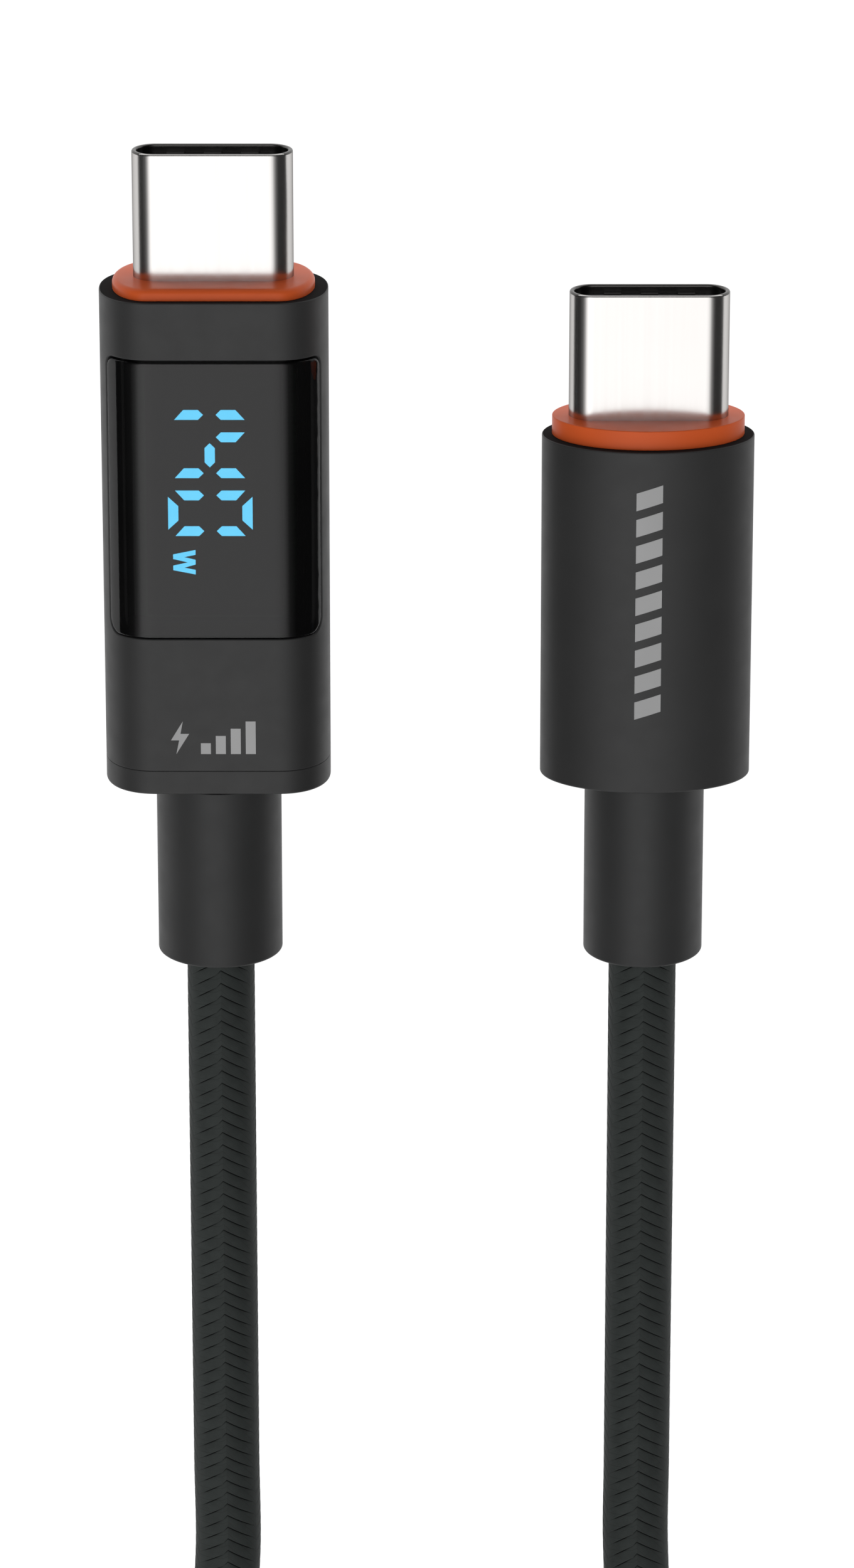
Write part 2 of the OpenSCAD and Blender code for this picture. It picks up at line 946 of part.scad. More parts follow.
meter_shell();
meter_insulator();
meter_contacts_upper();
meter_contacts_lower();
meter_latch_left();
meter_latch_right();
meter_mid_plate();
meter_emi_springs();
meter_collar();
meter_housing();
display_window();
light_mask();
lit_segments();
unlit_segments();
display_leds();
display_board();
board_header();
meter_board();
meter_mcu();
shunt_resistor();
meter_passives();
meter_emarker();
inner_carrier();
meter_end_cap();
meter_sleeve();
meter_ferrule();
meter_cable_end();
meter_wires();
far_shell();
far_insulator();
far_contacts_upper();
far_contacts_lower();
far_latch_left();
far_latch_right();
far_mid_plate();
far_emi_springs();
far_collar();
far_housing();
far_board();
far_emarker();
far_passives();
far_inner_mould();
far_sleeve();
far_ferrule();
far_cable_end();
far_wires();
meter_lead();
far_lead();
cable_hank();
cable_tie();
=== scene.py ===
import json
import math

import bmesh
import bpy
import numpy as np
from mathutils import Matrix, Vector
from mathutils.geometry import delaunay_2d_cdt


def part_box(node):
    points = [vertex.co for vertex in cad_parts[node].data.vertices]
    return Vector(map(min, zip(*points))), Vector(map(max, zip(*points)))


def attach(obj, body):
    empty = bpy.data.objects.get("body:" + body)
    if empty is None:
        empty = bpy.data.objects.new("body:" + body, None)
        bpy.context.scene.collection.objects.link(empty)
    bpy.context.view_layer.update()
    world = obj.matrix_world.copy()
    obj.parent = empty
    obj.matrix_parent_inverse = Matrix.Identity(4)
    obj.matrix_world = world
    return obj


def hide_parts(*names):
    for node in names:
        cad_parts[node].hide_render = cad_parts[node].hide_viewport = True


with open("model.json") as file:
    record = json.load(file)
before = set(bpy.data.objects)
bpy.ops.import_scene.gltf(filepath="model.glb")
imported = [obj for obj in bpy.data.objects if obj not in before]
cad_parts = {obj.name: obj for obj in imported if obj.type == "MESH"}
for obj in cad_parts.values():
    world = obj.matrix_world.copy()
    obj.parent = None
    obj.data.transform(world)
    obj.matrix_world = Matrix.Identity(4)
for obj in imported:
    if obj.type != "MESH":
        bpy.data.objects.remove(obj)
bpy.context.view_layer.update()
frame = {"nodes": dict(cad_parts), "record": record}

MM = 0.001
ROOT = "cable_assembly"
scene = bpy.context.scene
NODES = frame["nodes"]


def span(node):
    """A CAD node's lowest and highest corners in millimetres."""
    low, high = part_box(node)
    return np.array(low) / MM, np.array(high) / MM


# ---------------------------------------------------------------- camera

camera_data = bpy.data.cameras.new("camera")
camera_data.lens = 157
camera_data.sensor_width = 36
camera_data.clip_start = 0.01
camera_data.clip_end = 20
camera = bpy.data.objects.new("camera", camera_data)
camera.location = (0.01096, 0.1107, 0.3422)
camera.rotation_euler = (math.radians(-20), 0, 0)
scene.collection.objects.link(camera)
scene.camera = camera


# ---------------------------------------------------------------- mesh helpers

def outline(width, thickness, flat=0.0, count=192, power=2.0):
    """Points evenly spaced round a shape with a flat middle and rounded ends, and their outward
    normals, as rows of x, z, nx, nz, from the middle of the top towards +X. The ends are
    ellipses, or squarer with a higher power."""
    a, b = width / 2 - flat, thickness / 2
    turn = np.radians(np.linspace(90, 0, 600))
    c, s = np.clip(np.cos(turn), 0, 1), np.sin(turn)
    u, v = c ** (2 / power), s ** (2 / power)
    end = np.column_stack([flat + a * u, b * v, u ** (power - 1) / a, v ** (power - 1) / b])
    quarter = np.vstack([[0, b, 0, 1], end]) if flat > 0 else end
    lower = quarter[::-1] * [1, -1, 1, -1]
    right = np.vstack([quarter, lower[1:]])
    left = right[::-1] * [-1, 1, -1, 1]
    whole = np.vstack([right, left[1:]])
    whole[:, 2:] /= np.linalg.norm(whole[:, 2:], axis=1)[:, None]
    at = np.r_[0, np.cumsum(np.linalg.norm(np.diff(whole[:, :2], axis=0), axis=1))]
    places = np.arange(count) * at[-1] / count
    even = np.column_stack([np.interp(places, at, whole[:, k]) for k in range(4)])
    even[:, 2:] /= np.linalg.norm(even[:, 2:], axis=1)[:, None]
    return even


def slot_outline(width, thickness, count=192):
    return outline(width, thickness, (width - thickness) / 2, count)


def ring(shape, inset, y, centre=(0, 0)):
    """An outline moved in by inset, at y, round centre (x, z), as points in millimetres."""
    flat = shape[:, :2] - shape[:, 2:] * inset
    return np.column_stack([flat[:, 0] + centre[0], np.full(len(flat), y), flat[:, 1] + centre[1]])


def fillet(corners, radii, steps=5, hold=0.04, closed=True):
    """A section's corners, each rounded by its radius, with a point held close on both sides of
    every curve so that the flats between stay flat in the shading."""
    points, n = [], len(corners)
    for i, corner in enumerate(corners):
        here = np.array(corner, float)
        r = radii[i]
        if r == 0 or (not closed and i in (0, n - 1)):
            points.append(here)
            continue
        back = np.array(corners[i - 1], float) - here
        on = np.array(corners[(i + 1) % n], float) - here
        back_len, on_len = np.linalg.norm(back), np.linalg.norm(on)
        back, on = back / back_len, on / on_len
        half = math.acos(max(-1, min(1, float(back @ on)))) / 2
        reach = r / math.tan(half)
        middle = here + (back + on) / np.linalg.norm(back + on) * r / math.sin(half)
        start, stop = here + back * reach - middle, here + on * reach - middle
        whole = math.pi - 2 * half
        if reach + hold < back_len * 0.49:
            points.append(here + back * (reach + hold))
        for k in range(steps + 1):
            t = k / steps
            points.append(
                middle + (start * math.sin((1 - t) * whole) + stop * math.sin(t * whole))
                / math.sin(whole))
        if reach + hold < on_len * 0.49:
            points.append(here + on * (reach + hold))
    return points


class Build:
    """Collects a piece's points, in millimetres, and faces, then makes its object."""

    def __init__(self):
        self.points, self.faces, self.count = [], [], 0

    def add(self, points):
        first = self.count
        self.points.append(np.asarray(points, float))
        self.count += len(points)
        return np.arange(first, self.count)

    def join(self, one, two):
        """Quads between two closed rings of point numbers."""
        a, b = np.roll(one, -1), np.roll(two, -1)
        self.faces += np.column_stack([one, a, b, two]).tolist()

    def rings(self, rings, closed=False):
        made = [self.add(r) for r in rings]
        for one, two in zip(made, made[1:]):
            self.join(one, two)
        if closed:
            self.join(made[-1], made[0])
        return made

    def object(self, name, body=ROOT, soft=True, recalc=True, sharp=None):
        mesh = bpy.data.meshes.new(name)
        mesh.from_pydata((np.vstack(self.points) * MM).tolist(), [], self.faces)
        if recalc:
            bm = bmesh.new()
            bm.from_mesh(mesh)
            bmesh.ops.recalc_face_normals(bm, faces=bm.faces)
            if sharp:
                for edge in bm.edges:
                    if edge.is_manifold and edge.calc_face_angle() > math.radians(sharp):
                        edge.smooth = False
            bm.to_mesh(mesh)
            bm.free()
        mesh.polygons.foreach_set("use_smooth", [soft] * len(mesh.polygons))
        mesh.validate()
        made = bpy.data.objects.new(name, mesh)
        scene.collection.objects.link(made)
        if body:
            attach(made, body)
        return made


def dress(piece, material):
    piece.data.materials.clear()
    piece.data.materials.append(material)
    return piece


# ---------------------------------------------------------------- the cable

# The route's points as in part.scad, in millimetres
METER_AXIS_Z = float(sum(b[2] for b in span("meter_sleeve")) / 2)
FAR_X = float(sum(b[0] for b in span("far_sleeve")) / 2)
FAR_AXIS_Z = float(sum(b[2] for b in span("far_sleeve")) / 2)
METER_EXIT_Y = float(span("meter_sleeve")[0][1])
FAR_EXIT_Y = float(span("far_sleeve")[0][1])
CABLE_D = 3.6
CABLE_R = CABLE_D / 2
METER_ROUTE = [
    (0, METER_EXIT_Y, METER_AXIS_Z), (0, METER_EXIT_Y - 0.6, METER_AXIS_Z),
    (0, -28, 3.27), (0, -34, 3.2), (0, -40, 3.1), (0, -46, 2.98), (0, -52, 2.85),
    (0, -58, 2.7), (-0.4, -62, 2.6), (-1.75, -66, 2.48), (-3.7, -70, 2.4),
    (-5.55, -74, 2.37), (-6.8, -78, 2.38), (-7.05, -82, 2.4),
]
FAR_ROUTE = [
    (FAR_X, FAR_EXIT_Y, FAR_AXIS_Z), (FAR_X, FAR_EXIT_Y - 0.6, FAR_AXIS_Z),
    (FAR_X, -28, 3.56), (FAR_X, -34, 3.5), (FAR_X, -40, 3.45), (FAR_X, -46, 3.45),
    (FAR_X, -52, 3.5), (FAR_X, -57, 3.75), (FAR_X + 0.4, -62, 4.45),
    (FAR_X + 1.75, -66, 5.3), (FAR_X + 3.7, -70, 5.85), (FAR_X + 5.55, -74, 6),
    (FAR_X + 6.8, -78, 6), (FAR_X + 7.05, -82, 6),
]
HANK_X = FAR_X / 2
HANK_TOP, HANK_RUN = -82.0, 38.0
LOWER_Z, UPPER_Z = 2.4, 6.0
TRACKS = (18.25, 14.6, 10.95)


def ease(t):
    t = min(max(t, 0.0), 1.0)
    return t * t * (3 - 2 * t)


def hank_points():
    """The wound stretch: three turns inwards below, then two outwards on top of them."""
    points = []
    outer, middle, inner = TRACKS
    turns = [
        (outer, middle, LOWER_Z, LOWER_Z), (middle, inner, LOWER_Z, LOWER_Z),
        (inner, middle, LOWER_Z, UPPER_Z), (middle, outer, UPPER_Z, UPPER_Z),
        (outer, None, UPPER_Z, None),
    ]
    ys = np.linspace(HANK_TOP, HANK_TOP - HANK_RUN, 5)
    for number, (r, r_next, z, z_next) in enumerate(turns):
        points += [(HANK_X - r, y, z) for y in ys][1 if number == 0 else 0:]
        for i in range(1, 16):
            a = math.pi * i / 16
            points.append((HANK_X - r * math.cos(a), ys[-1] - r * math.sin(a), z))

        def height(past):
            """The climb onto the upper layer starts before the turn and ends half way."""
            return z + ((z_next or z) - z) * ease((past + 10) / 29)

        ups = list(np.linspace(ys[-1], HANK_TOP - 8, 4))
        if r_next:
            ups += [HANK_TOP - 4, HANK_TOP]
        points += [(HANK_X + r, y, height(y - HANK_TOP)) for y in ups]
        if r_next:
            bend, middle_x = (r + r_next) / 2, HANK_X + (r - r_next) / 2
            for i in range(1, 16):
                a = math.pi * i / 16
                points.append((
                    middle_x + bend * math.cos(a), HANK_TOP + bend * math.sin(a),
                    height(bend * a)))
    return points


def smooth_curve(points, step):
    """Points about step apart on a smooth curve through the given ones."""
    p = np.array(points, float)
    q = np.vstack([2 * p[0] - p[1], p, 2 * p[-1] - p[-2]])
    out = []
    for i in range(1, len(q) - 2):
        p0, p1, p2, p3 = q[i - 1:i + 3]
        t = [0.0]
        for a, b in ((p0, p1), (p1, p2), (p2, p3)):
            t.append(t[-1] + float(np.linalg.norm(b - a)) ** 0.5)
        many = max(1, round(float(np.linalg.norm(p2 - p1)) / step))
        x = (t[1] + (t[2] - t[1]) * np.arange(many) / many)[:, None]
        a1 = (t[1] - x) / (t[1] - t[0]) * p0 + (x - t[0]) / (t[1] - t[0]) * p1
        a2 = (t[2] - x) / (t[2] - t[1]) * p1 + (x - t[1]) / (t[2] - t[1]) * p2
        a3 = (t[3] - x) / (t[3] - t[2]) * p2 + (x - t[2]) / (t[3] - t[2]) * p3
        b1 = (t[2] - x) / (t[2] - t[0]) * a1 + (x - t[0]) / (t[2] - t[0]) * a2
        b2 = (t[3] - x) / (t[3] - t[1]) * a2 + (x - t[1]) / (t[3] - t[1]) * a3
        out.append((t[2] - x) / (t[2] - t[1]) * b1 + (x - t[1]) / (t[2] - t[1]) * b2)
    return np.vstack([*out, p[-1:]])


class Route:
    """A curve by its length: places and upright frames at any distance along it."""

    def __init__(self, points):
        self.points = points
        self.at = np.r_[0, np.cumsum(np.linalg.norm(np.diff(points, axis=0), axis=1))]
        self.length = float(self.at[-1])
        ahead = np.gradient(points, self.at, axis=0)
        self.ahead = ahead / np.linalg.norm(ahead, axis=1)[:, None]

    def frame(self, s):
        s = np.asarray(s, float)
        inside = np.clip(s, 0, self.length)
        place = np.stack([np.interp(inside, self.at, self.points[:, k]) for k in range(3)], -1)
        ahead = np.stack([np.interp(inside, self.at, self.ahead[:, k]) for k in range(3)], -1)
        ahead /= np.linalg.norm(ahead, axis=-1, keepdims=True)
        place = place + ahead * (s - inside)[..., None]
        across = np.cross(ahead, [0.0, 0.0, 1.0])
        across /= np.linalg.norm(across, axis=-1, keepdims=True)
        return place, across, np.cross(across, ahead)


CURVE_STEP = 0.8
route = Route(smooth_curve(METER_ROUTE + hank_points() + FAR_ROUTE[:-1][::-1], CURVE_STEP))

# The braid: six strips of slanting yarns, in three pairs that meet in ridges
PITCH = 0.715                      # from one yarn to the next along the cable
RIDGE = 1.0                        # degrees from the top to the first ridge
RIGHT_SLOPE, LEFT_SLOPE, LEFT_SHIFT = 0.6, 0.61, 0.15
VISIBLE = 40.0                     # length at each plug that is in the camera's view
UNDER_SLEEVE = 1.43                # length that goes on inside the sleeve
YARN_PLAY = 0.012                  # the yarns' tops below the cable's full radius
FINE_AROUND, PLAIN_AROUND = 48, 24
# rows across one yarn, as share of the pitch and depth below the cable's round, fine then plain
FINE_ROWS = ((0.0, 0.06), (0.035, 0.015), (0.12, 0.0), (0.45, 0.0), (0.88, 0.004), (0.965, 0.02))
PLAIN_ROWS = ((0.0, 0.035), (0.45, 0.0))


def braid_slant(turn):
    """How far along the cable a yarn has gone, in millimetres, at degrees from the top towards
    +X, and the share of the groove's full depth there."""
    third = (turn - RIDGE) % 120.0
    right = third < 60.0
    from_ridge = np.where(right, third, 120.0 - third)
    arc = np.radians(from_ridge) * CABLE_R
    slant = np.where(right, RIGHT_SLOPE * arc, LEFT_SLOPE * arc + LEFT_SHIFT * PITCH)
    deep = np.where(
        right,
        np.interp(from_ridge, [0, 1, 42, 46, 60], [0.8, 1, 1, 0.25, 0.1]),
        np.interp(from_ridge, [0, 13, 17, 41, 45, 60], [0.05, 0.1, 1, 1, 0.2, 0.08]))
    return slant, deep


def braided_cable():
    half = route.length / 2
    # the pattern turns round where the tie covers the cable
    inner_pass = route.at[np.argmin(
        np.abs(route.points[:, 1] - (HANK_TOP - HANK_RUN / 2))
        + np.abs(route.at - half) * 0.02 + 50.0 * (route.points[:, 0] > HANK_X))]
    built, uvs = Build(), []
    edge_fine = round((VISIBLE + 2) / PITCH) * PITCH

    def rows(start, stop, sign, around, section):
        """Rings from start to stop, in millimetres from one plug's end; sign is +1 from the
        meter's plug and -1 from the plain one."""
        turn = np.arange(around) * 360.0 / around + RIDGE
        slant, deep = braid_slant(turn)
        depths = np.array([d for _, d in section])
        shares = np.array([h for h, _ in section])
        base = np.arange(round(start / PITCH), round(stop / PITCH))[:, None] * PITCH
        offset = (base + shares[None] * PITCH).ravel()
        depth = np.tile(depths, len(base))
        away = offset[:, None] + slant[None]
        s = away if sign > 0 else route.length - away
        place, across, over = route.frame(s)
        # across points to -X on the meter's side and to +X on the other
        angle = np.radians(turn)[None]
        side = -1.0 if sign > 0 else 1.0
        radius = CABLE_R - YARN_PLAY - depth[:, None] * deep[None]
        points = place + radius[..., None] * (
            side * np.sin(angle)[..., None] * across + np.cos(angle)[..., None] * over)
        phase = offset[:, None] / PITCH + 0 * slant[None]
        return points, np.stack([
            np.broadcast_to(turn / 360.0, phase.shape), phase,
            np.broadcast_to(deep, phase.shape)], -1)

    def tube(sign, length):
        fine, fine_uv = rows(-UNDER_SLEEVE, edge_fine, sign, FINE_AROUND, FINE_ROWS)
        plain, plain_uv = rows(edge_fine, length, sign, PLAIN_AROUND, PLAIN_ROWS)
        fine_rings = built.rings(fine)
        plain_rings = built.rings(plain)
        uvs.extend([fine_uv.reshape(-1, 3), plain_uv.reshape(-1, 3)])
        a, b = fine_rings[-1], plain_rings[0]
        for k in range(PLAIN_AROUND):
            f0, f1, f2 = a[2 * k], a[2 * k + 1], a[(2 * k + 2) % FINE_AROUND]
            c0, c1 = b[k], b[(k + 1) % PLAIN_AROUND]
            built.faces += [[int(c0), int(f0), int(f1)], [int(c0), int(f1), int(c1)],
                            [int(c1), int(f1), int(f2)]]
        built.faces.append(fine_rings[0].tolist()[::-1])
        return plain_rings[-1]

    one = tube(1, inner_pass)
    two = tube(-1, route.length - inner_pass)
    # the two halves meet under the tie, where the second runs the other way round
    start = int(np.argmin(np.linalg.norm(
        np.vstack(built.points)[two] - np.vstack(built.points)[one[0]], axis=1)))
    built.join(one, np.roll(two[::-1], start + 1 - len(two)))
    piece = built.object("braided_cable")
    layer = piece.data.uv_layers.new(name="braid")
    coords = np.vstack(uvs)
    corner = np.zeros(len(piece.data.loops), int)
    piece.data.loops.foreach_get("vertex_index", corner)
    uv = coords[corner]
    starts = np.array([p.loop_start for p in piece.data.polygons])
    totals = np.array([p.loop_total for p in piece.data.polygons])
    face = np.repeat(np.arange(len(starts)), totals)
    high = np.zeros(len(starts))
    np.maximum.at(high, face, uv[:, 0])
    uv[:, 0] += np.where((high[face] > 0.75) & (uv[:, 0] < 0.25), 1.0, 0.0)
    layer.data.foreach_set("uv", uv[:, :2].astype(np.float32).ravel())
    piece.data.attributes.new("gap", "FLOAT", "POINT").data.foreach_set(
        "value", coords[:, 2].astype(np.float32))
    return piece


cable = braided_cable()
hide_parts("meter_lead", "far_lead", "cable_hank")


# ---------------------------------------------------------------- materials

class Nodes:
    """A short way to build one procedural material."""

    def __init__(self, name):
        self.material = bpy.data.materials.new(name)
        self.material.use_nodes = True
        self.tree = self.material.node_tree
        self.tree.nodes.clear()
        out = self.tree.nodes.new("ShaderNodeOutputMaterial")
        self.shader = self.tree.nodes.new("ShaderNodeBsdfPrincipled")
        self.link(self.shader.outputs[0], out.inputs[0])
        self.place = self.tree.nodes.new("ShaderNodeTexCoord").outputs["Object"]

    def link(self, a, b):
        self.tree.links.new(a, b)

    def set(self, **values):
        for name, value in values.items():
            socket = self.shader.inputs[name.replace("_", " ")]
            if hasattr(value, "is_output"):
                self.link(value, socket)
            elif isinstance(value, tuple) and len(value) == 3:
                socket.default_value = (*value, 1)
            else:
                socket.default_value = value
        return self

    def stretch(self, scale, place=None):
        node = self.tree.nodes.new("ShaderNodeMapping")
        self.link(place or self.place, node.inputs[0])
        node.inputs["Scale"].default_value = scale
        return node.outputs[0]

    def noise(self, size, detail=3, rough=0.5, place=None):
        """Noise whose grains are about size metres."""
        node = self.tree.nodes.new("ShaderNodeTexNoise")
        self.link(place or self.place, node.inputs["Vector"])
        node.inputs["Scale"].default_value = 1 / size
        node.inputs["Detail"].default_value = detail
        node.inputs["Roughness"].default_value = rough
        return node.outputs["Fac"]

    def math(self, kind, a, b=0.5, c=0.5):
        node = self.tree.nodes.new("ShaderNodeMath")
        node.operation = kind
        for socket, value in zip(node.inputs, (a, b, c)):
            if hasattr(value, "is_output"):
                self.link(value, socket)
            else:
                socket.default_value = value
        return node.outputs[0]

    def ramp(self, value, stops, smooth=False):
        node = self.tree.nodes.new("ShaderNodeValToRGB")
        self.link(value, node.inputs[0])
        node.color_ramp.interpolation = "EASE" if smooth else "LINEAR"
        marks = node.color_ramp.elements
        while len(marks) < len(stops):
            marks.new(0.5)
        for mark, (at, colour) in zip(marks, stops):
            mark.position = at
            mark.color = (*colour, 1) if hasattr(colour, "__len__") else (colour,) * 3 + (1,)
        return node.outputs[0]

    def tint(self, colour, spread, size, detail=2):
        """A colour that drifts a little lighter and darker."""
        low = tuple(c * (1 - spread) for c in colour)
        high = tuple(c * (1 + spread) for c in colour)
        return self.ramp(self.noise(size, detail), [(0.3, low), (0.7, high)])

    def bump(self, height, depth, strength=1.0, under=None):
        node = self.tree.nodes.new("ShaderNodeBump")
        self.link(height, node.inputs["Height"])
        node.inputs["Distance"].default_value = depth
        node.inputs["Strength"].default_value = strength
        if under:
            self.link(under, node.inputs["Normal"])
        return node.outputs[0]


def moulded(name, colour, rough, specular=0.5, grain=0.00006, depth=0.0000012, spread=0.05):
    """Moulded plastic or rubber with a fine spark-eroded grain."""
    m = Nodes(name)
    m.set(
        Base_Color=m.tint(colour, spread, 0.004),
        Roughness=m.ramp(m.noise(0.0011, 4), [(0.3, rough - 0.03), (0.7, rough + 0.03)]),
        Specular_IOR_Level=specular,
        Normal=m.bump(m.noise(grain, 2), depth))
    return m.material


def metal(name, colour, rough, along=(1, 0.04, 1), size=0.00012, depth=0.0000003, spread=0.02,
          edge=1.0):
    """Metal with faint drawing lines along Y."""
    m = Nodes(name)
    lines = m.noise(size, 3, 0.6, m.stretch(along))
    m.set(
        Base_Color=m.tint(colour, spread, 0.003),
        Metallic=1.0,
        Specular_Tint=(edge, edge, edge),
        Roughness=m.ramp(lines, [(0.3, rough * 0.9), (0.7, rough * 1.1)]),
        Normal=m.bump(lines, depth))
    return m.material


charcoal_shell = moulded("charcoal_shell", (0.031, 0.031, 0.0312), 0.52, 0.35)
charcoal_sleeve = moulded("charcoal_sleeve", (0.03, 0.0303, 0.0306), 0.54, 0.33, 0.00008)
# the housings' front faces round the collars: rougher and less glossy, and painted darker as the
# shade round the collars
charcoal_end_painted_shade = moulded("charcoal_end_painted_shade", (0.022, 0.022, 0.0223), 0.8, 0.02)
# the springs in the shells' mouths, painted near black: painted shade, as the mouths lie in shade
painted_shade_spring = metal("painted_shade_spring", (0.03, 0.029, 0.028), 0.45)
orange_elastomer = moulded(
    "orange_elastomer", (0.78, 0.125, 0.03), 0.36, 0.13, 0.00007, 0.000001, 0.06)
polished_steel = metal(
    "polished_steel", (0.612, 0.594, 0.58), 0.22, (1, 0.01, 1), 0.0003, 0.00000002, 0.006, 0.35)
# dark steel that paints the shade inside the shells' mouths and on the rim under them
painted_shade_steel = metal("painted_shade_steel", (0.1, 0.097, 0.094), 0.3)
spring_steel = metal("spring_steel", (0.62, 0.61, 0.6), 0.22)
gold_plate = metal("gold_plate", (0.85, 0.6, 0.22), 0.16)
tinned_brass = metal("tinned_brass", (0.66, 0.65, 0.63), 0.3)
black_moulding = moulded("black_moulding", (0.012, 0.012, 0.013), 0.4, 0.35)
pale_moulding = moulded("pale_moulding", (0.62, 0.6, 0.54), 0.45)
chip_epoxy = moulded("chip_epoxy", (0.018, 0.018, 0.019), 0.6, 0.3, 0.00004)
wire_insulation = moulded("wire_insulation", (0.42, 0.03, 0.025), 0.38)
led_package = moulded("led_package", (0.75, 0.7, 0.48), 0.25)
print_ink = moulded("print_ink", (0.46, 0.46, 0.462), 0.5, 0.2, 0.00004)
light_mask = moulded("light_mask", (0.006, 0.006, 0.0062), 0.6, 0.2)
unlit_guide = moulded("unlit_guide", (0.0075, 0.0075, 0.008), 0.55, 0.2)


def lit_material():
    """Diffusing guides that glow evenly, with a slight random drift in the glow."""
    m = Nodes("lit_guide")
    glow = m.ramp(m.noise(0.0012, 1), [(0.2, (0.115, 0.625, 0.97)), (0.8, (0.135, 0.66, 1.0))])
    m.set(Base_Color=(0.1, 0.3, 0.4), Roughness=0.5, Emission_Color=glow, Emission_Strength=14.0)
    return m.material


def window_material():
    """Polished smoked plastic over the display."""
    m = Nodes("smoked_window")
    wear = m.noise(0.0007, 5, 0.6)
    m.set(
        Base_Color=m.tint((0.004, 0.004, 0.0042), 0.15, 0.003),
        Roughness=m.ramp(wear, [(0.35, 0.03), (0.75, 0.06)]),
        Specular_IOR_Level=0.42, Alpha=0.74,
        Normal=m.bump(m.noise(0.0025, 2), 0.0000012))
    return m.material


def board_material():
    """Green solder mask with copper tracks under it."""
    m = Nodes("circuit_board")
    brick = m.tree.nodes.new("ShaderNodeTexBrick")
    m.link(m.place, brick.inputs["Vector"])
    brick.inputs["Scale"].default_value = 900
    brick.inputs["Mortar Size"].default_value = 0.06
    brick.inputs["Color1"].default_value = (0.008, 0.085, 0.03, 1)
    brick.inputs["Color2"].default_value = (0.01, 0.1, 0.036, 1)
    brick.inputs["Mortar"].default_value = (0.02, 0.17, 0.06, 1)
    m.set(Base_Color=brick.outputs["Color"], Roughness=0.3,
          Normal=m.bump(brick.outputs["Fac"], 0.00002))
    return m.material


def ceramic_material():
    """Fired parts with tinned ends."""
    m = Nodes("ceramic_parts")
    m.set(Base_Color=m.tint((0.34, 0.23, 0.13), 0.2, 0.0006), Roughness=0.35,
          Normal=m.bump(m.noise(0.00008), 0.000003))
    return m.material


def braid_material():
    """Nylon braid: dark lines between slanting yarns, painted shade in the grooves, fine filaments
    along them.
    """
    m = Nodes("braid")
    uv = m.tree.nodes.new("ShaderNodeUVMap")
    uv.uv_map = "braid"
    split = m.tree.nodes.new("ShaderNodeSeparateXYZ")
    m.link(uv.outputs[0], split.inputs[0])
    across, along = split.outputs[0], split.outputs[1]
    phase = m.math("FRACT", along)
    line = m.math("SUBTRACT", 0.5, m.math("ABSOLUTE", m.math("SUBTRACT", phase, 0.5)))
    gap = m.tree.nodes.new("ShaderNodeAttribute")
    gap.attribute_name = "gap"
    # the grooves between the yarns are painted near black: painted shade in the grooves
    groove = m.math("SUBTRACT", 1.0, m.math("MULTIPLY", gap.outputs["Fac"], m.ramp(
        line, [(0.0, 1.0), (0.022, 0.9), (0.05, 0.0)])))
    # the yarns of the other direction, dimly, where they cross
    other = m.math("FRACT", m.math("SUBTRACT", along, m.math("MULTIPLY", across, 8.0)))
    crossing = m.ramp(m.math("ABSOLUTE", m.math("SUBTRACT", other, 0.5)),
                      [(0.0, 0.78), (0.05, 1.0)])
    # the right-hand strip of each pair is painted darker, a painted shade for the side that
    # catches less light
    right = m.math("LESS_THAN", m.math("FRACT", m.math(
        "SUBTRACT", m.math("MULTIPLY", across, 3.0), RIDGE / 120)), 0.5)
    shade = m.math("MULTIPLY", crossing, m.math("SUBTRACT", 1.06, m.math("MULTIPLY", right, 0.14)))
    filament = m.math("SINE", m.math("MULTIPLY", along, 6.2832 * 6))
    fuzz = m.noise(0.00009, 3, 0.6)
    tone = m.tint((0.0335, 0.0385, 0.0368), 0.1, 0.0007, 3)
    mix = m.tree.nodes.new("ShaderNodeMix")
    mix.data_type = "RGBA"
    mix.inputs[6].default_value = (0.002, 0.002, 0.002, 1)
    shaded = m.tree.nodes.new("ShaderNodeVectorMath")
    shaded.operation = "SCALE"
    m.link(tone, shaded.inputs[0])
    m.link(shade, shaded.inputs["Scale"])
    m.link(groove, mix.inputs[0])
    m.link(shaded.outputs[0], mix.inputs[7])
    height = m.math("ADD", m.math("MULTIPLY", filament, 0.12), m.math("MULTIPLY", fuzz, 0.5))
    m.set(
        Base_Color=mix.outputs[2], Roughness=0.7,
        Specular_IOR_Level=m.math("MULTIPLY", groove, 0.16),
        Sheen_Weight=0.02, Sheen_Roughness=0.4,
        Normal=m.bump(height, 0.000006))
    return m.material


def tie_material():
    """Hook-and-loop tape: soft loops over a ribbed base."""
    m = Nodes("tie_fabric")
    loops = m.tree.nodes.new("ShaderNodeTexVoronoi")
    m.link(m.place, loops.inputs["Vector"])
    loops.inputs["Scale"].default_value = 2600
    ribs = m.math("SINE", m.math("MULTIPLY", m.noise(0.0004, 2), 40))
    height = m.math("ADD", loops.outputs["Distance"], m.math("MULTIPLY", ribs, 0.1))
    m.set(
        Base_Color=m.ramp(loops.outputs["Distance"], [(0.1, 0.028), (0.6, 0.008)]),
        Roughness=0.85, Specular_IOR_Level=0.2, Sheen_Weight=0.3, Sheen_Roughness=0.5,
        Normal=m.bump(height, 0.00012))
    return m.material


